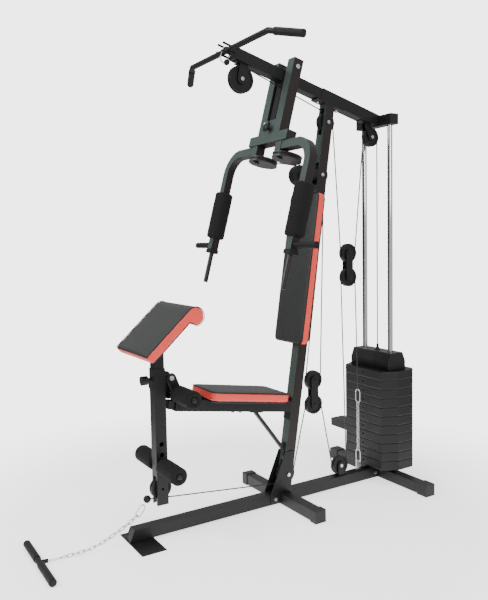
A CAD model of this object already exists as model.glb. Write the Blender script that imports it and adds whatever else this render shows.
# %% [markdown]
# # A multi station home gym
# A leaning upright carries a sloping top beam, and round them hang a press frame with two butterfly
# arms, a lat bar, a padded seat with a leg lever, and a stack of weights pulled by steel cable.
# The steel, the pulleys, the bolts and the chains come from the CAD model. Blender adds what CAD
# draws only as plain blocks: the stuffed pads, the foam rolls, the cables, and every finish.

# %% Load the CAD model and note its box
import math
import bpy
import numpy as np
from mathutils import Matrix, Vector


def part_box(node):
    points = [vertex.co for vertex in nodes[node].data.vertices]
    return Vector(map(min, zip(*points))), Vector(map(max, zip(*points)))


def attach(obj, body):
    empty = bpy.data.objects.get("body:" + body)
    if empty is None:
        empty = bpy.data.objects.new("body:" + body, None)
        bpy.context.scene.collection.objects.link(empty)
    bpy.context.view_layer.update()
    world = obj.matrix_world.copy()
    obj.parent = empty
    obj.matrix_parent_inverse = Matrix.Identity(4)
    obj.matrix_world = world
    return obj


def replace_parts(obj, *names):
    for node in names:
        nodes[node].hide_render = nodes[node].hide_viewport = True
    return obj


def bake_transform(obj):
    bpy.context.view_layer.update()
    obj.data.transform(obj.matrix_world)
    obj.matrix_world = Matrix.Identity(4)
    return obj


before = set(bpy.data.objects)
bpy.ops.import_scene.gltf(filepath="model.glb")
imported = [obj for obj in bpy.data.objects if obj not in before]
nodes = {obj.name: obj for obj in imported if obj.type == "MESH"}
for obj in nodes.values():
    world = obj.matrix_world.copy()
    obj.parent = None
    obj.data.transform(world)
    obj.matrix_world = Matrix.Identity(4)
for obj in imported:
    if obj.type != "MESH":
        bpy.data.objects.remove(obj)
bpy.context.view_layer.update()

# %% [markdown]
# ## The camera
# A product shot of a tall machine is taken from about chest height with a normal lens, turned to
# one side so that the front, one flank and the depth all show. The turn, tilt and roll are plain
# angles, and the camera's three axes follow from them.

# %% Camera
def aim(turn, tilt, roll):
    """Axes right, up and back of a camera turned left of +Y, tilted up and then rolled, in degrees."""
    y, p, r = map(math.radians, (turn, tilt, roll))
    ahead = np.array([-math.sin(y) * math.cos(p), math.cos(y) * math.cos(p), math.sin(p)])
    level = np.array([math.cos(y), math.sin(y), 0.0])
    upright = np.cross(level, ahead)
    right = level * math.cos(r) + upright * math.sin(r)
    up = upright * math.cos(r) - level * math.sin(r)
    return right, up, -ahead

camera = bpy.data.objects.new("camera", bpy.data.cameras.new("camera"))
bpy.context.scene.collection.objects.link(camera)
place = np.eye(4)
place[:3, :3] = np.column_stack(aim(turn=58.27, tilt=-4.35, roll=-1.08))
place[:3, 3] = (2.5182, -1.5218, 1.2326)
camera.matrix_world = Matrix(place.tolist())
camera.data.lens = 39.97
camera.data.shift_x, camera.data.shift_y = -0.0013, -0.0171
bpy.context.scene.camera = camera
print("camera at", [round(v, 3) for v in camera.location])

# %% [markdown]
# ## Shader sums as plain Python
# A finish is mostly arithmetic: a noise, cut off here, scaled there, mixed between two colours. The
# class `Wire` wraps a shader socket so that such sums read like sums, and `Finish` makes a material
# and adds any other kind of node to it.

# %% Wire and Finish
class Wire:
    """A shader socket that can stand in a sum: 1 - w, w * 2 and w + v each add a Math node."""

    def __init__(self, finish, socket):
        self.finish, self.socket = finish, socket

    def _math(self, kind, a, b, clamp=False):
        """One Math node on a and b, each a wire or a number."""
        return self.finish.node("ShaderNodeMath", {"operation": kind, "use_clamp": clamp}, {0: a, 1: b})

    def __add__(self, other): return self._math("ADD", self, other)
    def __radd__(self, other): return self._math("ADD", other, self)
    def __sub__(self, other): return self._math("SUBTRACT", self, other)
    def __rsub__(self, other): return self._math("SUBTRACT", other, self)
    def __mul__(self, other): return self._math("MULTIPLY", self, other)
    def __rmul__(self, other): return self._math("MULTIPLY", other, self)
    def __truediv__(self, other): return self._math("DIVIDE", self, other)
    def over(self, level): return self._math("GREATER_THAN", self, level)
    def clip(self): return self._math("ADD", self, 0.0, clamp=True)
    def at_most(self, other): return self._math("MINIMUM", self, other)
    def at_least(self, other): return self._math("MAXIMUM", self, other)
    def size(self): return self._math("ABSOLUTE", self, 0.0)


class Finish:
    """A material whose nodes are made by one method, with a Principled shader at its end."""

    def __init__(self, name):
        self.material = bpy.data.materials.new(name)
        self.material.use_nodes = True
        self.tree = self.material.node_tree
        self.shader = self.tree.nodes["Principled BSDF"]

    def node(self, kind, settings=None, values=None, out=0):
        """Any other node: its type, its settings, and the values or wires of its sockets."""
        made = self.tree.nodes.new(kind)
        for key, value in (settings or {}).items():
            setattr(made, key, value)
        self.fill(made, values or {})
        return Wire(self, made.outputs[out])

    def fill(self, made, values):
        """Link each wire to its socket, and set each number or colour as the socket's value."""
        for key, value in values.items():
            if isinstance(value, Wire):
                self.tree.links.new(value.socket, made.inputs[key])
            else:
                made.inputs[key].default_value = value

    def surface(self, **values):
        """Set the Principled shader's sockets, whose names have _ for a space."""
        self.fill(self.shader, {key.replace("_", " "): value for key, value in values.items()})
        return self.material

    def where(self):
        """The place on the object, in metres."""
        return self.node("ShaderNodeTexCoord", out="Object")

    def noise(self, scale, detail=2.0, stretch=None):
        """Cloudy noise, scale blobs to a metre; stretch scales the three axes apart."""
        at = self.where()
        if stretch:
            at = self.node("ShaderNodeMapping", {}, {"Vector": at, "Scale": stretch})
        return self.node("ShaderNodeTexNoise", {}, {"Vector": at, "Scale": scale, "Detail": detail})

    def cells(self, scale):
        """Distance to the nearest of scattered points: 0 in the middle of each cell."""
        return self.node("ShaderNodeTexVoronoi", {"feature": "F1"}, {"Vector": self.where(), "Scale": scale})

    def along(self, vector, direction):
        """How far a vector reaches along a direction."""
        return self.node("ShaderNodeVectorMath", {"operation": "DOT_PRODUCT"},
                         {0: vector, 1: direction}, out="Value")

    def mix(self, share, a, b):
        """Colour a where share is 0, and b where it is 1."""
        return self.node("ShaderNodeMix", {"data_type": "RGBA"}, {0: share, 6: a, 7: b}, out=2)

    def bump(self, height, depth, normal=None):
        """A normal that leans as if the surface rose by depth metres where height is 1."""
        values = {"Height": height, "Distance": depth, "Strength": 1.0}
        if normal:
            values["Normal"] = normal
        return self.node("ShaderNodeBump", {}, values)

    def soft_edges(self, radius):
        """Normals that run round each sharp edge, and a mask that is 1 on the edge and 0 elsewhere."""
        rounded = self.node("ShaderNodeBevel", {"samples": 4}, {"Radius": radius})
        flat = self.node("ShaderNodeNewGeometry", out="Normal")
        apart = self.node("ShaderNodeVectorMath", {"operation": "DOT_PRODUCT"}, {0: rounded, 1: flat},
                          out="Value")
        return rounded, ((1 - apart) * 6).clip()

print("Wire and Finish are ready")

# %% [markdown]
# ## Powder coat
# The frame is welded square tube under a satin powder coat, nearly black with a warm brown cast. A
# powder coat has a very fine orange-peel skin, is a little thinner and shinier on the edges, and
# picks up faint smudges. The rounding of the tube's corners is put in by the Bevel node, which
# bends the light at each sharp edge, so that the CAD meshes stay as they are.

# %% Powder coats
def powder_coat(name, colour, edge, roughness, radius=0.0022, front=None, front_colour=None):
    """Satin paint; with front given, the faces that look that way take front_colour."""
    f = Finish(name)
    rounded, rim = f.soft_edges(radius)
    smudge = f.noise(9.0, detail=4.0)
    peel = f.noise(700.0, detail=1.0)
    base = f.mix(smudge * 0.5, colour + (1,), tuple(c * 1.35 for c in colour) + (1,))
    if front is not None:
        facing = f.along(f.node("ShaderNodeNewGeometry", out="True Normal"), front)
        base = f.mix(((facing - 0.86) * 14).clip(), base, front_colour + (1,))
    worn = (rim * (0.35 + f.noise(60.0, detail=3.0) * 0.5)).clip()
    return f.surface(Base_Color=f.mix(worn, base, edge + (1,)),
                     Roughness=roughness - 0.1 * rim + 0.14 * (smudge - 0.5),
                     Specular_IOR_Level=0.28, Normal=f.bump(peel, 0.00012, rounded))

slope = math.radians(15.5)
beam_up = (0.0, math.sin(slope), math.cos(slope))
beam_front = (0.0, -math.cos(slope), math.sin(slope))
charcoal = powder_coat("charcoal_powder_coat", (0.0075, 0.0073, 0.0085), (0.032, 0.032, 0.035), 0.44)
arm_paint = powder_coat("grey_green_powder_coat", (0.0145, 0.0110, 0.0102), (0.056, 0.062, 0.058), 0.42,
                        front=beam_front, front_colour=(0.052, 0.074, 0.067))
print("made", charcoal.name, "and", arm_paint.name)

# %% [markdown]
# ## Bright metal
# The guide rods are hard chromed and wiped with oil, so their shine is broken only by faint lengthwise
# rubbing. The bolts, hooks and chain are zinc plated, which is paler, softer and slightly mottled.

# %% Chrome and zinc
def bright_metal(name, dark, pale, low, high, grain, stretch, depth):
    """Metal whose colour and polish drift between two values along a stretched noise."""
    f = Finish(name)
    drift = f.noise(grain, detail=4.0, stretch=stretch)
    rounded, rim = f.soft_edges(0.0006)
    return f.surface(Base_Color=f.mix(drift, dark + (1,), pale + (1,)), Metallic=1.0,
                     Roughness=low + (high - low) * drift, Normal=f.bump(drift, depth, rounded))

rod_chrome = bright_metal("rod_chrome", (0.62, 0.59, 0.56), (0.80, 0.78, 0.75), 0.06, 0.16,
                          60.0, (1, 1, 0.05), 0.00002)
zinc = bright_metal("zinc_plate", (0.50, 0.51, 0.53), (0.80, 0.80, 0.80), 0.20, 0.38,
                    160.0, (1, 1, 1), 0.00004)
print("made", rod_chrome.name, "and", zinc.name)

# %% [markdown]
# ## Plastic, rubber and weights
# Pulleys, caps and knobs are moulded nylon with a spark-eroded texture. The weight shells are a
# rougher moulding that has been handled, so their edges are paler and dust sits on the flats.

# %% Moulded finishes
def joints(f, first, pitch):
    """How far a point lies, in metres, from the nearest of the level planes first + n * pitch."""
    level = f.along(f.where(), (0, 0, 1 / pitch)) - first / pitch
    return f.node("ShaderNodeMath", {"operation": "PINGPONG"}, {0: level + 40.0, 1: 0.5}) * pitch

def moulded(name, colour, edge, roughness, grain, depth, radius, dust=0.0, seams=None):
    """Moulded plastic: a fine grain, rounded edges that are rubbed paler, and dust on upward faces.
    seams, a height and a pitch, rounds the rims of stacked plates and darkens the gaps."""
    f = Finish(name)
    rounded, rim = f.soft_edges(radius)
    texture = f.noise(grain, detail=2.0)
    cloud = f.noise(14.0, detail=5.0)
    rubbed = (rim * (0.2 + 0.7 * f.noise(45.0, detail=3.0))).clip()
    base = f.mix(cloud * 0.6, colour + (1,), tuple(c * 1.5 for c in colour) + (1,))
    if dust:
        facing = f.along(f.node("ShaderNodeNewGeometry", out="True Normal"), (0, 0, 1))
        base = f.mix((facing * cloud * dust).clip(), base, (0.16, 0.155, 0.15, 1))
    base = f.mix(rubbed, base, edge + (1,))
    if seams:
        apart = joints(f, *seams)
        pale = (1 - (apart - 0.0045).size() / 0.0022).clip()
        base = f.mix(pale * 0.5, base, edge + (1,))
        base = f.mix((1 - (apart - 0.0008) / 0.0016).clip(), base, (0.0008, 0.0008, 0.0008, 1))
        rounded = f.bump((apart / 0.005).at_most(1.0), 0.004, rounded)
    return f.surface(Base_Color=base, Roughness=roughness + 0.16 * (cloud - 0.5) - 0.08 * rim,
                     Specular_IOR_Level=0.3, Normal=f.bump(texture, depth, rounded))

nylon = moulded("moulded_nylon", (0.006, 0.006, 0.0065), (0.030, 0.030, 0.030), 0.42, 900.0, 0.00010, 0.0010)
cap_plastic = moulded("cap_plastic", (0.007, 0.007, 0.008), (0.034, 0.034, 0.037), 0.50, 700.0, 0.00015,
                      0.0025, dust=0.08)
weight_shell = moulded("weight_shell", (0.0075, 0.0075, 0.0085), (0.040, 0.040, 0.044), 0.48, 500.0,
                       0.00022, 0.0028, dust=0.10, seams=(0.0775, 0.045))
head_shell = moulded("head_shell", (0.0065, 0.0065, 0.0072), (0.040, 0.040, 0.044), 0.44, 500.0,
                     0.00018, 0.0035, dust=0.08)
grip_rubber = moulded("grip_rubber", (0.005, 0.005, 0.0055), (0.016, 0.016, 0.016), 0.66, 420.0, 0.0003,
                      0.0016)
print("made five moulded finishes")

# %% [markdown]
# ## Foam, vinyl and cable
# The rolls are closed-cell foam: matt, black and pitted all over. The pads are covered in vinyl with a
# fine leather grain, charcoal on the face that the user leans on and coral red round the sides,
# with a stitched seam where the two meet. The cables are twisted steel under a clear grey sleeve.

# %% Foam and cable
def foam_finish():
    """Closed-cell foam: two sizes of pits that dent the surface and darken it."""
    f = Finish("roll_foam")
    pits = f.cells(420.0).at_most(0.5) * 2
    small = f.noise(1100.0, detail=2.0)
    wear = f.noise(22.0, detail=4.0)
    return f.surface(Base_Color=f.mix((pits * 0.6 + wear * 0.5).clip(), (0.004, 0.004, 0.0045, 1),
                                      (0.013, 0.012, 0.012, 1)),
                     Roughness=0.78 + 0.14 * wear, Specular_IOR_Level=0.2,
                     Normal=f.bump(pits + small * 0.6, 0.0005))

def cable_finish():
    """Twisted wire seen through its sleeve: slanted strands from the piece's own UV map."""
    f = Finish("cable_sleeve")
    uv = f.node("ShaderNodeUVMap", {"uv_map": "UVMap"})
    strands = f.node("ShaderNodeTexWave", {"bands_direction": "DIAGONAL"},
                     {"Vector": uv, "Scale": 3.0, "Distortion": 0.0})
    return f.surface(Base_Color=f.mix(strands, (0.006, 0.006, 0.006, 1), (0.026, 0.026, 0.026, 1)),
                     Roughness=0.34 + 0.12 * strands, Normal=f.bump(strands, 0.00015))

roll_foam, cable_sleeve = foam_finish(), cable_finish()
print("made", roll_foam.name, "and", cable_sleeve.name)

# %% [markdown]
# ## Dressing the CAD pieces
# Each steel, plastic or chrome piece keeps its CAD shape, which is exact, and only takes a finish.

# %% Give every CAD node its finish
finish_of = {}
for names, material in (
    ("base_frame base_plates top_beam top_beam_rear pulley_brackets seat_beam press_hanger "
     "lever_hinge_plates lever_post curl_post lat_bar block_one block_two", charcoal),
    ("weight_head", head_shell),
    ("press_frame left_arm right_arm upright", arm_paint),
    ("guide_rods", rod_chrome),
    ("frame_bolts anchor_chain low_chain lat_hook", zinc),
    ("caps_and_bumpers side_step", cap_plastic),
    ("lower_weight_plates upper_weight_plates", weight_shell),
    ("lat_grips left_arm_grips right_arm_grips low_handle", grip_rubber),
):
    finish_of.update({name: material for name in names.split()})
for name, piece in nodes.items():
    material = finish_of.get(name, nylon)
    if piece.material_slots:
        for held in piece.material_slots:
            held.material = material
    else:
        piece.data.materials.append(material)
print(len(nodes), "CAD pieces dressed")

# %% [markdown]
# ## Surfaces from arrays
# Every new piece is a grid of points, worked out as whole arrays and joined into quads. A roll is a
# profile turned round an axis, and a cable is a ring carried along a path.

# %% Grid, roll and tube makers
def piece_from_grid(name, points, material, closed=False):
    """Join a grid of points (rings, round, 3) into quads. Rings wrap round; the ends are capped,
    or joined to each other when closed is given."""
    rings, around = points.shape[:2]
    index = np.arange(rings * around).reshape(rings, around)
    rows = index if closed else index[:-1]
    following = np.roll(index, -1, axis=0) if closed else index[1:]
    quads = np.stack([rows, np.roll(rows, -1, 1), np.roll(following, -1, 1), following], -1).reshape(-1, 4)
    faces = quads.tolist()
    if not closed:
        faces += [index[0][::-1].tolist(), index[-1].tolist()]
    mesh = bpy.data.meshes.new(name)
    mesh.from_pydata(points.reshape(-1, 3).tolist(), [], faces)
    mesh.shade_smooth()
    mesh.materials.append(material)
    piece = bpy.data.objects.new(name, mesh)
    bpy.context.scene.collection.objects.link(piece)
    return piece

def outward(piece):
    """Turn all faces of a closed mesh outwards: if its signed volume is negative, flip them."""
    mesh = piece.data
    mesh.calc_loop_triangles()
    spots = np.empty(len(mesh.vertices) * 3)
    mesh.vertices.foreach_get("co", spots)
    corners = np.empty(len(mesh.loop_triangles) * 3, int)
    mesh.loop_triangles.foreach_get("vertices", corners)
    a, b, c = spots.reshape(-1, 3)[corners.reshape(-1, 3)].transpose(1, 0, 2)
    if np.einsum("ij,ij->", a, np.cross(b, c)) < 0:
        mesh.flip_normals()
    return piece

def unit(v):
    """The vector over its own length."""
    return np.asarray(v, float) / np.linalg.norm(v)

skew = (0.3, 0.5, 0.8)      # parallel to no axis in use, so that its cross product with one is never 0

def turned(name, centre, axis, profile, material, around=64, closed=True):
    """Turn a profile of (distance along axis, radius) round an axis: each point is the centre, plus
    the distance along the axis, plus the radius along a direction that goes round it."""
    axis = unit(axis)
    side = unit(np.cross(axis, skew))
    other = np.cross(axis, side)
    along, radius = np.array(profile, float).T
    turn = np.linspace(0, 2 * np.pi, around, endpoint=False)
    points = (np.asarray(centre) + along[:, None, None] * axis
              + radius[:, None, None] * (np.cos(turn)[:, None] * side + np.sin(turn)[:, None] * other))
    return outward(piece_from_grid(name, points, material, closed))

def tube(name, path, radius, material, around=12, pitch=0.012):
    """Carry a ring along a path: each ring lies square to the path, and one of its axes stays as
    near to X as it can. UVs run along the path in turns of the given pitch, and round the ring."""
    path = np.asarray(path, float)
    ahead = np.gradient(path, axis=0)
    ahead /= np.linalg.norm(ahead, axis=1)[:, None]
    across = np.array([1.0, 0, 0]) - ahead[:, :1] * ahead
    across /= np.linalg.norm(across, axis=1)[:, None]
    other = np.cross(ahead, across)
    turn = np.linspace(0, 2 * np.pi, around, endpoint=False)
    points = path[:, None] + radius * (np.cos(turn)[:, None] * across[:, None]
                                       + np.sin(turn)[:, None] * other[:, None])
    piece = outward(piece_from_grid(name, points, material))
    reach = np.r_[0, np.cumsum(np.linalg.norm(np.diff(path, axis=0), axis=1))] / pitch
    corner = np.empty(len(piece.data.loops), int)
    piece.data.loops.foreach_get("vertex_index", corner)
    uv = np.stack([reach[corner // around], (corner % around) / around], -1)
    piece.data.uv_layers.new(name="UVMap").data.foreach_set("uv", uv.ravel())
    return piece

print("piece makers are ready")

# %% [markdown]
# ## The foam rolls
# A roll is a thick tube of foam pushed over a bar. It's a little fatter in the middle of its length,
# its ends are rounded off, and hand-cut foam is never quite even, so the radius drifts slowly. The
# bar's end is closed with a small domed plug.

# %% Foam rolls
def roll_profile(length, outer, bore, crown=0.0012):
    """Outline of a roll's wall as (along, radius): up one rounded end, over the crowned outside,
    down the other end and back through the bore."""
    soft = 0.009
    bend = np.linspace(0, np.pi / 2, 7)
    x = np.linspace(soft, length - soft, 22)
    wall = outer - crown + crown * np.sin(np.pi * x / length) + 0.0005 * np.sin(x * 71) * np.sin(x * 37)
    edge = wall[0]
    first = np.stack([soft - soft * np.sin(bend[::-1]), edge - soft + soft * np.cos(bend[::-1])], -1)
    last = np.stack([length - soft + soft * np.sin(bend), wall[-1] - soft + soft * np.cos(bend)], -1)
    bore_line = [(length - 0.001, bore + 0.004), (length - 0.004, bore), (length / 2, bore),
                 (0.004, bore), (0.001, bore + 0.004)]
    return np.vstack([first, np.stack([x[1:-1], wall[1:-1]], -1), last, bore_line])

def leg_rolls(node, body, length=0.155):
    """A roll at each end of the node's box; returns the bar's middle and how far its ends reach."""
    low, high = (np.array(c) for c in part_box(node))
    centre = (low + high) / 2
    inner = high[0] - length
    made = []
    for side in (-1, 1):
        start = (side * inner, centre[1], centre[2])
        roll = turned(f"{node}_{'right' if side < 0 else 'left'}", start, (side, 0, 0),
                      roll_profile(length, 0.0372, 0.0127), roll_foam)
        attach(roll, body)
        made.append(roll)
    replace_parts(made[0], node)
    return centre, high[0]

plugs = [(0.0, 0.0004), (0.0, 0.0112), (0.0016, 0.0118), (0.0030, 0.0100), (0.0040, 0.0060), (0.0043, 0.0004)]
for node, body, held_by in (("upper_foam_rollers", "upper_rollers", "frame"),
                            ("lower_foam_rollers", "lower_rollers", "leg_lever")):
    centre, reach = leg_rolls(node, body)
    for side in (-1, 1):
        plug = turned(f"{node}_plug_{'right' if side < 0 else 'left'}",
                      (side * (reach - 0.0005), centre[1], centre[2]), (side, 0, 0), plugs, nylon,
                      around=32, closed=False)
        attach(plug, held_by)

pivot = np.array([0.0, 0.2803, 1.9902])      # the press frame's hinge, in line with the arms' hinges
for side, word in ((1, "left"), (-1, "right")):
    start = pivot + np.array([side * 0.327, 0, 0]) - 0.780 * np.array(beam_up)
    roll = turned(f"{word}_arm_foam", start, beam_up, roll_profile(0.224, 0.0428, 0.0185), roll_foam)
    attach(roll, f"{word}_arm")
    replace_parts(roll, f"{word}_arm_roll")
print("six foam rolls")

# %% [markdown]
# ## Knobs
# A star knob is moulded with lobes, so that fingers hold it. Its side is a circle whose radius swells
# six times in a turn. The stop beside the upper knob ends in a bright domed bolt.

# %% Star knobs and the stop's bolt
def star_knob(name, node, body, start, axis, stem, head, reach):
    """A thin stem, then a lobed head with rounded rims; reach is the whole length along the axis."""
    rise = reach - 0.013
    outline = [(0.0, 0.0003), (0.0, stem), (rise, stem), (rise, head * 0.78), (rise + 0.002, head * 0.95),
               (rise + 0.007, head * 0.96), (rise + 0.011, head * 0.85), (rise + 0.013, head * 0.5),
               (rise + 0.013, 0.0003)]
    knob = turned(name, start, axis, outline, nylon, around=72, closed=False)
    spots = np.empty(len(knob.data.vertices) * 3)
    knob.data.vertices.foreach_get("co", spots)
    away = spots.reshape(-1, 3) - start
    along = away @ unit(axis)
    across = away - along[:, None] * unit(axis)
    turn = np.arctan2(across @ unit(np.cross(axis, skew)), across @ np.array([1.0, 0, 0]))
    lobe = 1 - 0.10 * (1 + np.cos(6 * turn)) / 2 * (along > rise + 0.0005)
    spots = start + along[:, None] * unit(axis) + across * lobe[:, None]
    knob.data.vertices.foreach_set("co", spots.ravel())
    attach(knob, body)
    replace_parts(knob, node)

front, up = np.array(beam_front), np.array(beam_up)
star_knob("press_star_knob", "press_lock_knob", "press_lock",
          pivot + (0.009, 0, 0) - 0.286 * up + 0.0203 * front, front, 0.005, 0.021, 0.0377)
bolt = turned("press_stop_bolt", pivot + (-0.022, 0, 0) - 0.264 * up + 0.0398 * front, front,
              [(0.0, 0.0003), (0.0, 0.0088), (0.0016, 0.0088), (0.0018, 0.0062), (0.0036, 0.0055),
               (0.0048, 0.0035), (0.0052, 0.0003)], zinc, around=32, closed=False)
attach(bolt, "press")
print("star knob and stop bolt")

# %% [markdown]
# ## The pads
# A gym pad is a board with foam on it, wrapped in vinyl: charcoal on the face, red round the sides,
# sewn together along the edge of the face. The foam pushes the vinyl out between the seam and the
# board. So each pad starts as a plain closed shape, and a short cloth simulation with air pressure
# inside swells it, while the seam and the bottom edge are held. A piece of piping covers the seam.

# %% Vinyl and the swelling
def vinyl(name, origin, normal, seam, extra=None):
    """Grained vinyl, charcoal above the seam's height over the board and red below it. extra, given
    the finish and the height, returns a mask that is 1 where the charcoal may show."""
    f = Finish(name)
    height = f.along(f.where(), tuple(normal)) - float(np.dot(origin, normal))
    face = (height - seam).over(0.0)
    if extra:
        face = face * extra(f, height)
    grain = f.cells(900.0)
    creases = f.noise(260.0, detail=4.0)
    shade = f.noise(7.0, detail=3.0)
    dark = f.mix(shade, (0.016, 0.018, 0.017, 1), (0.028, 0.031, 0.029, 1))
    red = f.mix(shade, (0.78, 0.062, 0.045, 1), (0.90, 0.098, 0.072, 1))
    return f.surface(Base_Color=f.mix(face, red, dark), Roughness=0.40 + 0.12 * creases,
                     Specular_IOR_Level=0.3, Coat_Weight=0.12 * (1 - face),
                     Normal=f.bump(grain + creases, 0.0003))

def swell(piece, held, voxel=0.006, pressure=3.0, cap=0.006, frames=14):
    """Even out the mesh, blow it up as cloth with the held points fixed, and let no point move
    further than cap. held is a function of the points that marks the fixed ones."""
    bpy.context.view_layer.objects.active = piece
    remesh = piece.modifiers.new("even", "REMESH")
    remesh.mode, remesh.voxel_size = "VOXEL", voxel
    bpy.ops.object.modifier_apply(modifier=remesh.name)
    count = len(piece.data.vertices)
    rest = np.empty(count * 3)
    piece.data.vertices.foreach_get("co", rest)
    rest = rest.reshape(-1, 3)
    group = piece.vertex_groups.new(name="held")
    group.add(np.flatnonzero(held(rest)).tolist(), 1.0, "REPLACE")
    cloth = piece.modifiers.new("cloth", "CLOTH")
    cloth.settings.use_pressure = True
    cloth.settings.uniform_pressure_force = pressure
    cloth.settings.vertex_group_mass = "held"
    cloth.settings.effector_weights.gravity = 0.0
    cloth.settings.tension_stiffness = cloth.settings.compression_stiffness = 30
    cloth.settings.bending_stiffness = 4.0
    for number in range(1, frames + 1):
        bpy.context.scene.frame_set(number)
    blown = np.empty(count * 3)
    piece.evaluated_get(bpy.context.evaluated_depsgraph_get()).data.vertices.foreach_get("co", blown)
    moved = blown.reshape(-1, 3) - rest
    far = np.linalg.norm(moved, axis=1, keepdims=True)
    piece.modifiers.remove(cloth)
    piece.vertex_groups.remove(group)
    bpy.context.scene.frame_set(1)
    final = rest + moved / np.maximum(far, 1e-9) * cap * np.tanh(far / cap)
    piece.data.vertices.foreach_set("co", final.ravel())
    piece.data.shade_smooth()
    print(piece.name, count, "points, swelled by up to", round(float(far.max()) * 1000, 1), "mm")
    return piece

def smoothed(piece, repeat=3):
    """Iron out the voxel steps, then one level of subdivision."""
    iron = piece.modifiers.new("iron", "SMOOTH")
    iron.factor, iron.iterations = 0.5, repeat
    finer = piece.modifiers.new("finer", "SUBSURF")
    finer.levels = finer.render_levels = 1
    return piece

print("vinyl and swell are ready")

# %% [markdown]
# ### Seat and back pad
# Both are round-cornered slabs. The slab is a stack of outlines: each ring is the same rounded
# rectangle, drawn in by some inset at some height over the board.

# %% Seat and back pad
ring_points = 96
piping_radius = 0.0016

def outline(width, length, corner, inset, around=ring_points):
    """A rounded rectangle: a small circle of radius corner - inset, with a quarter at each corner."""
    turn = np.linspace(0, 2 * np.pi, around, endpoint=False) + 0.001
    radius = max(corner - inset, 0.0)
    core = max(inset - corner, 0.0)
    x = np.sign(np.cos(turn)) * (width / 2 - corner - core) + radius * np.cos(turn)
    y = np.sign(np.sin(turn)) * (length / 2 - corner - core) + radius * np.sin(turn)
    return np.stack([x, y], -1)

def slab_rings(width, length, thick, corner, base, edge):
    """Rings of (x, y, height) from the middle of the underside, round the edge, to the face's middle."""
    bend = np.linspace(0, np.pi / 2, 5)
    deep = width / 2 - corner - 0.002
    insets = [deep + corner, 0.002, 0.0] + list(edge - edge * np.cos(bend)) + [deep + corner]
    heights = [base, base, base + 0.002] + list(thick - edge + edge * np.sin(bend)) + [thick]
    return np.stack([np.c_[outline(width, length, corner, i), np.full(ring_points, h)]
                     for i, h in zip(insets, heights)])

def set_in_frame(points, origin, across, along, normal):
    """Origin plus each of the three numbers of a point times its own direction."""
    return (np.asarray(origin) + points[..., :1] * np.asarray(across) + points[..., 1:2] * np.asarray(along)
            + points[..., 2:] * np.asarray(normal))

def slab_pad(name, node, width, length, thick, corner, origin, along, normal):
    """Board, stuffed body and piping of one rectangular pad."""
    across = (1.0, 0.0, 0.0)
    seam, base = thick - 0.0045, 0.008
    fixed = lambda p: set_in_frame(p, origin, across, along, normal)
    finish = vinyl(name + "_vinyl", origin, normal, seam)
    rings = slab_rings(width, length, thick, corner, base, 0.005)
    body = outward(piece_from_grid(name, fixed(rings), finish))

    def held(points):
        """The underside, and the rim within 4 mm of the seam."""
        height = (points - origin) @ normal
        x = np.abs(points[:, 0])
        y = np.abs((points - origin) @ np.asarray(along))
        rim = (x > width / 2 - 0.009) | (y > length / 2 - 0.009)
        return (height < base + 0.004) | ((np.abs(height - seam) < 0.004) & rim)

    smoothed(swell(body, held))
    turn = outline(width, length, corner, 0.0004, 160)
    loop = fixed(np.c_[turn, np.full(len(turn), seam)])
    piping = closed_tube(name + "_piping", loop, piping_radius, grip_rubber)
    rings = slab_rings(width - 0.012, length - 0.012, base + 0.001, corner, 0.0, 0.002)
    board = outward(piece_from_grid(name + "_board", fixed(rings), cap_plastic))
    for piece, slot_name in ((body, "pad_vinyl"), (piping, "foam"), (board, "plastic")):
        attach(piece, "frame")
    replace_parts(body, node)
    return body

def closed_tube(name, loop, radius, material, around=8):
    """Carry a ring round a closed loop: its axes are the loop's own left and the normal of its plane."""
    ahead = np.roll(loop, -1, 0) - np.roll(loop, 1, 0)
    ahead /= np.linalg.norm(ahead, axis=1)[:, None]
    plane = unit(np.cross(loop[0] - loop.mean(0), loop[len(loop) // 5] - loop.mean(0)))
    left = np.cross(plane, ahead)
    turn = np.linspace(0, 2 * np.pi, around, endpoint=False)
    points = loop[:, None] + radius * (np.cos(turn)[:, None] * left[:, None] + np.sin(turn)[:, None] * plane)
    return outward(piece_from_grid(name, points, material, closed=True))

lean = math.radians(9.0)
post_up = np.array([0.0, math.sin(lean), math.cos(lean)])
post_front = np.array([0.0, -math.cos(lean), math.sin(lean)])
post_foot = np.array([0.0, 0.2195, 0.0])
slab_pad("back_pad_soft", "back_pad", 0.218, 0.698, 0.048, 0.022,
         post_foot + 1.097 * post_up + 0.027 * post_front, post_up, post_front)
slab_pad("seat_pad_soft", "seat_pad", 0.218, 0.402, 0.048, 0.030,
         post_foot + 0.298 * post_front + 0.476 * post_up, -post_front, post_up)
print("seat pad and back pad, each with its piping and board")

# %% [markdown]
# ### Curl pad
# The curl pad is the same sandwich bent over a roll at its top. Its outline is seen from the side:
# down the sloping face, round the roll, and back along the underside. That outline is carried
# across the width, drawn in a little at both ends.

# %% Curl pad
tilt = math.radians(42.0)
curl_along = np.array([0.0, math.cos(tilt), math.sin(tilt)])
curl_normal = np.array([0.0, -math.sin(tilt), math.cos(tilt)])
curl_origin = np.array([0.0, -0.5179, 0.7831])
curl_seam = 0.1615          # from the middle of the pad to the seam at either end of its width
seam_run = 46               # outline points under a seam: the face, the roll and 4 of the underside

def curl_outline():
    """Side view as (along, height): the face, the roll (an arc), the kink, the underside, the nose."""
    roll, radius = np.radians(np.linspace(104, -128, 26)), 0.039
    arc = np.stack([0.261 + radius * np.cos(roll), -0.040 + radius * np.sin(roll)], -1)
    face = np.stack([np.linspace(0.006, 0.244, 16), np.full(16, -0.001)], -1)
    under = np.stack([np.linspace(0.228, 0.008, 16), np.full(16, -0.040)], -1)
    return np.vstack([face, arc, under, [(0.001, -0.034), (0.001, -0.006)]])

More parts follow.
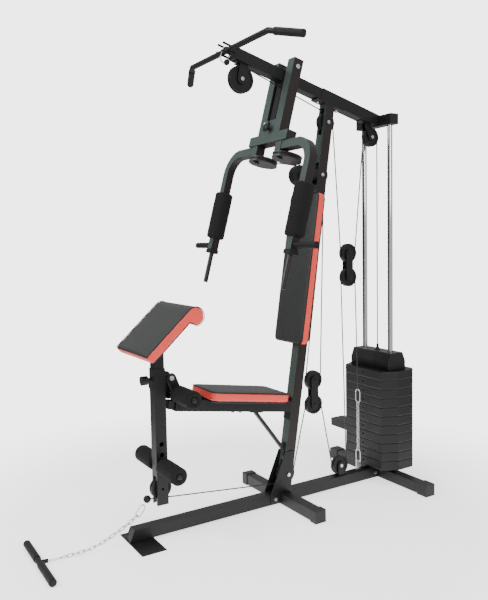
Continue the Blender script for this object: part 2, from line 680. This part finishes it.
def curl_rings(width, edge=0.004):
    """The outline carried across, shrunk towards its own inside near both ends."""
    flat = curl_outline()
    tangent = np.roll(flat, -1, 0) - np.roll(flat, 1, 0)
    inward = np.stack([tangent[:, 1], -tangent[:, 0]], -1)
    inward /= np.linalg.norm(inward, axis=1)[:, None]
    bend = np.linspace(0, np.pi / 2, 4)
    xs = np.r_[-width / 2 + edge - edge * np.cos(bend), width / 2 - edge + edge * np.cos(bend[::-1])]
    ins = np.r_[edge - edge * np.sin(bend), edge - edge * np.sin(bend[::-1])]
    rings = [np.c_[np.full(len(flat), x), flat + inward * i] for x, i in zip(xs, ins)]
    return np.stack(rings)

def only_face(f, height):
    """Charcoal stays off the two ends, and goes round the roll."""
    sideways = f.along(f.where(), (1, 0, 0)).size()
    reach = f.along(f.where(), tuple(curl_along)) - float(np.dot(curl_origin, curl_along))
    nose = (height + 0.007).over(0.0)
    return (curl_seam - sideways).over(0.0) * nose.at_least((reach - 0.243).over(0.0))

curl = outward(piece_from_grid("curl_pad_soft", set_in_frame(curl_rings(0.328), curl_origin, (1, 0, 0),
                                                              curl_along, curl_normal),
                               vinyl("curl_vinyl", curl_origin, curl_normal, -0.046, only_face)))
swell(curl, lambda p: (((p - curl_origin) @ curl_normal < -0.036) & ((p - curl_origin) @ curl_along < 0.22))
      | (np.abs(np.abs(p[:, 0]) - curl_seam) < 0.003))
smoothed(curl)
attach(curl, "curl")
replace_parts(curl, "curl_pad")
for side, word in ((1, "left"), (-1, "right")):
    flat = curl_outline()[:seam_run]
    path = set_in_frame(np.c_[np.full(len(flat), side * curl_seam), flat], curl_origin, (1, 0, 0),
                        curl_along, curl_normal)
    piping = tube(f"curl_piping_{word}", path, piping_radius, grip_rubber, around=8)
    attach(piping, "curl")
board = slab_rings(0.300, 0.215, -0.0405, 0.012, -0.0488, 0.001)
board[..., 1] += 0.118
board = outward(piece_from_grid("curl_board", set_in_frame(board, curl_origin, (1, 0, 0), curl_along,
                                                            curl_normal), cap_plastic))
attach(board, "curl")
print("curl pad with its piping and board")

# %% [markdown]
# ## The cables
# Each cable is a line that touches a row of pulleys. Between two circles it runs along their common
# tangent, and on a circle it follows an arc. Where the pulley lies to the left of the travelling
# cable its radius counts as positive, and to the right as negative, which covers over and under.
# The stretches beside the moving block and over the stack have to grow and shrink, so each
# is a piece of its own that bends between the two bodies it joins.

# %% Routes round pulleys
def wheel(node, side):
    """Middle of a pulley in the Y-Z plane and the radius that its cable runs on, signed by side."""
    low, high = (np.array(c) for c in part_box(node))
    middle = (low + high) / 2
    return middle[1:], side * ((high[2] - low[2]) / 2 - 0.0012)

def heading(a, b):
    """Direction of the straight cable from wheel a to wheel b: the line between the middles, turned
    by the arc sine of the difference of the radii over their distance."""
    (ca, ra), (cb, rb) = a, b
    d = cb - ca
    return math.atan2(d[1], d[0]) - math.asin((rb - ra) / np.linalg.norm(d))

def on(wheel_, angle):
    """The point on a wheel where a cable with that heading touches it: a radius to its right."""
    centre, radius = wheel_
    return centre - radius * np.stack([-np.sin(angle), np.cos(angle)], -1)

def arc(wheel_, start, end):
    """Points on a wheel while the heading turns from start to end the way its side says."""
    turn = (end - start) * np.sign(wheel_[1]) % (2 * np.pi) * np.sign(wheel_[1])
    return on(wheel_, start + np.linspace(0, turn, max(3, int(abs(turn) / 0.12) + 2)))

def straight(a, b, step=0.02):
    """Points about a step apart on the line from a to b."""
    return a + (b - a) * np.linspace(0, 1, max(3, int(np.linalg.norm(b - a) / step)))[:, None]

def route(*stops):
    """The whole route over a list of wheels; a stop with radius 0 is a plain point."""
    turns = [heading(a, b) for a, b in zip(stops[:-1], stops[1:])]
    line = []
    for i, (a, b) in enumerate(zip(stops[:-1], stops[1:])):
        line.append(straight(on(a, turns[i]), on(b, turns[i]))[1:-1])
        if i + 1 < len(turns) and b[1]:
            line.append(arc(b, turns[i], turns[i + 1]))
    return np.vstack(line), turns

cable_radius = 0.0027

def cable(name, flat, body, x=0.0):
    """A tube along points (y, z) at one x or a row of them; it rides on the body, if one is given."""
    across = np.full(len(flat), x) if np.isscalar(x) else x
    piece = tube(name, np.c_[across, flat], cable_radius, cable_sleeve)
    if body:
        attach(piece, body)
    return piece

front_top, beam_top = wheel("front_top_pulley", -1), wheel("upright_top_pulley", -1)
one_top, one_low = wheel("block_one_top_pulley", 1), wheel("block_one_low_pulley", -1)
rear_top, base = wheel("rear_top_pulley", -1), wheel("base_pulley", 1)
two_top, two_low = wheel("block_two_top_pulley", 1), wheel("block_two_low_pulley", -1)
lever, foot = wheel("lever_pulley", 1), wheel("upright_low_pulley", 1)
print("wheels read from the CAD")

# %% [markdown]
# The lat cable runs from the lat bar's hook over the top beam to the first block, and from there
# over the rear pulley to the stack. The low cable runs from the low handle by way of the leg lever's
# pulley, the foot of the upright, the second block and the base pulley to the first block, and ends
# on a chain. A wrap on the pulley of a block or of the lever rides with it, and a straight stretch
# that ends on one bends between it and the frame.

# %% The lat cable, the low cable and the stretches that move
stack_top = np.array([rear_top[0][0] - rear_top[1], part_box("weight_head")[1][2] - 0.004])
hook = np.array([float(sum(c[1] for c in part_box("anchor_chain")) / 2), 0.474])
lat_ball = np.array([-0.0345, 1.990])
low_ball = np.array([-0.4619, 0.1611])

lat_turns = route((lat_ball, 0.0), front_top, beam_top, one_top)[1]
one_turns = route(beam_top, one_top, rear_top)[1]
low_turns = route((low_ball, 0.0), lever, foot, two_low, base, one_low)[1]
end_turns = route(base, one_low, (hook, 0.0))[1]
down = -math.pi / 2

def moving(name, a, b, turn, bodies, nodes_):
    """A straight stretch between two wheels or points that bends between two bodies."""
    start, end = on(a, turn), on(b, turn)
    piece = cable(name, straight(start, end, 0.03), None)
    first, last = ((0.0, *start), (0.0, *end)) if bodies[0] == "frame" else ((0.0, *end), (0.0, *start))
    inner = np.array(last) - np.array(first)
    tuple(first + 0.01 * inner)
    tuple(first + 0.99 * inner)
    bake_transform(piece)
    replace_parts(piece, nodes_)
    return piece

moving("cable_to_block", beam_top, one_top, lat_turns[2], ("frame", "block_one"), "block_cable_a")
moving("cable_from_block", one_top, rear_top, one_turns[1], ("block_one", "frame"), "block_cable_b")
moving("cable_base_to_block", base, one_low, low_turns[4], ("frame", "block_one"), "block_cable_c")
moving("cable_block_to_chain", one_low, (hook, 0.0), end_turns[1], ("block_one", "frame"), "block_cable_d")
moving("cable_to_stack", rear_top, (stack_top, 0.0), down, ("frame", "weight_stack"), "stack_cable")

lat_fixed = np.vstack([route((lat_ball, 0.0), front_top, beam_top)[0],
                       arc(beam_top, lat_turns[1], lat_turns[2])])
cable("lat_cable", lat_fixed, "frame")
cable("rear_top_wrap", arc(rear_top, one_turns[1], down), "frame")
low_fixed = np.vstack([arc(foot, low_turns[1], low_turns[2]),
                       route(foot, two_low, base)[0], arc(base, low_turns[3], low_turns[4])])
cable("low_cable", low_fixed, "frame")
for word, wheel_, a, b in (("top", one_top, one_turns[0], one_turns[1]),
                           ("low", one_low, end_turns[0], end_turns[1])):
    cable(f"block_one_{word}_wrap", arc(wheel_, a, b), "block_one")
lever_line = np.vstack([straight(low_ball, on(lever, low_turns[0])), arc(lever, low_turns[0], low_turns[1])])
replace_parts(cable("lever_wrap", lever_line, "leg_lever"), "lever_cable")
run = straight(on(lever, low_turns[1]), on(foot, low_turns[1]))
lever_run = cable("lever_to_upright_cable", run, None)
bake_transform(lever_run)
print("lat and low cables")

# %% [markdown]
# The butterfly cable is one length: from one arm's cam over a front guide, through the upright, under
# the second block's top pulley and back up to the other arm's cam. Each half follows its own guides,
# a little to the side of the middle, and the halves meet under the block's pulley.

# %% The butterfly cable
guide_front, guide_back = wheel("front_guide_pulleys", -1), wheel("guide_pulleys", -1)
twin, axle_x, cam_drop = 0.0105, 0.095, 0.409
for side, word in ((-1, "right"), (1, "left")):
    block = (two_top[0], abs(two_top[1]) * side)
    turn_in, turn_down = heading(guide_front, guide_back), heading(guide_back, block)
    top = np.vstack([arc(guide_front, 0.0, turn_in),
                     straight(on(guide_front, turn_in), on(guide_back, turn_in)),
                     arc(guide_back, turn_in, turn_down)])
    fall = straight(on(guide_back, turn_down), on(block, turn_down))
    under = arc(block, turn_down, 0.0 if side > 0 else math.pi)
    x = side * twin * np.r_[np.ones(len(top)), np.linspace(1, 0, len(fall)), np.zeros(len(under))]
    half = cable(f"butterfly_cable_{word}", np.vstack([top, fall, under]), "frame", x)
    cam = pivot + np.array([side * axle_x, 0, 0]) - cam_drop * np.array(beam_up)
    start = np.array([side * twin, *on(guide_front, 0.0)])
    span = start + (cam - start) * np.linspace(0, 1, 14)[:, None]
    reach = tube(f"cam_cable_{word}", span, cable_radius, cable_sleeve)
    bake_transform(reach)
    if side > 0:
        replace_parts(half, "fixed_cables")
print("butterfly cable")

# %% [markdown]
# ## Floor and light
# The machine stands on a pale studio floor that melts into a white background: near the machine the
# floor takes soft shadows, and further out it turns clear and lets the background through. One large
# soft light comes from the front and left, high up, one fills from the right, and one sits overhead.

# %% Floor, world and lights
def studio_floor(near=1.0, far=1.9):
    """A pale floor round the machine that turns clear with distance, so the background takes over."""
    f = Finish("studio_floor")
    away = f.node("ShaderNodeVectorMath", {"operation": "LENGTH"}, {0: f.where()}, out="Value")
    clear = ((away - near) / (far - near)).clip()
    f.surface(Base_Color=(0.92, 0.92, 0.92, 1), Roughness=0.9, Emission_Color=(1, 1, 1, 1),
              Emission_Strength=1.3)
    f.node("ShaderNodeBsdfTransparent")
    both = f.node("ShaderNodeMixShader", {}, {0: clear}).socket.node
    f.tree.links.new(f.shader.outputs[0], both.inputs[1])
    f.tree.links.new(f.tree.nodes["Transparent BSDF"].outputs[0], both.inputs[2])
    f.tree.links.new(both.outputs[0], f.tree.nodes["Material Output"].inputs["Surface"])
    corners = np.array([(-1, -1, 0), (1, -1, 0), (1, 1, 0), (-1, 1, 0)]) * 4.0 - (0, 0, 0.0005)
    mesh = bpy.data.meshes.new("floor")
    mesh.from_pydata(corners.tolist(), [], [(0, 1, 2, 3)])
    mesh.materials.append(f.material)
    floor = bpy.data.objects.new("floor", mesh)
    bpy.context.scene.collection.objects.link(floor)

def white_world(light, seen):
    """A white background that lights the machine softly, but is seen as bright white itself. Toward
    the left its light is screened off, which draws a dark streak down each chromed rod."""
    world = bpy.data.worlds.new("studio")
    world.use_nodes = True
    tree = world.node_tree

    def add(kind, values, **settings):
        made = tree.nodes.new(kind)
        for key, value in settings.items():
            setattr(made, key, value)
        for key, value in values.items():
            if hasattr(value, "is_linked"):
                tree.links.new(value, made.inputs[key])
            else:
                made.inputs[key].default_value = value
        return made

    way = add("ShaderNodeTexCoord", {}).outputs["Generated"]
    left = add("ShaderNodeVectorMath", {0: way, 1: (-0.53, -0.85, 0.0)}, operation="DOT_PRODUCT")
    screen = add("ShaderNodeMapRange", {"Value": left.outputs["Value"], "From Min": 0.62, "From Max": 0.86,
                                        "To Min": light, "To Max": 0.06 * light})
    path = add("ShaderNodeLightPath", {})
    strength = add("ShaderNodeMapRange", {"Value": path.outputs["Is Camera Ray"],
                                          "To Min": screen.outputs["Result"], "To Max": seen})
    tree.links.new(strength.outputs["Result"], tree.nodes["Background"].inputs["Strength"])
    tree.nodes["Background"].inputs["Color"].default_value = (1, 1, 1, 1)
    bpy.context.scene.world = world

def soft_light(name, spot, toward, size, power):
    """An area light at spot that faces toward."""
    lamp = bpy.data.objects.new(name, bpy.data.lights.new(name, "AREA"))
    lamp.data.shape, lamp.data.size, lamp.data.size_y = "RECTANGLE", size[0], size[1]
    lamp.data.energy = power
    back = unit(np.array(spot) - np.array(toward))
    right = unit(np.cross((0.01, 0.02, 1.0), back))
    axes = np.eye(4)
    axes[:3, :3] = np.column_stack([right, np.cross(back, right), back])
    axes[:3, 3] = spot
    lamp.matrix_world = Matrix(axes.tolist())
    bpy.context.scene.collection.objects.link(lamp)

studio_floor()
white_world(0.7, 4.0)
soft_light("front_softbox", (-1.2, -3.6, 3.2), (0, 0.1, 1.0), (2.4, 1.8), 150)
soft_light("side_softbox", (4.2, -0.6, 2.6), (0, 0.1, 1.0), (2.2, 2.2), 80)
soft_light("overhead", (0.2, 0.2, 4.4), (0, 0.1, 1.0), (3.0, 3.0), 90)
print("floor, world and three lights")
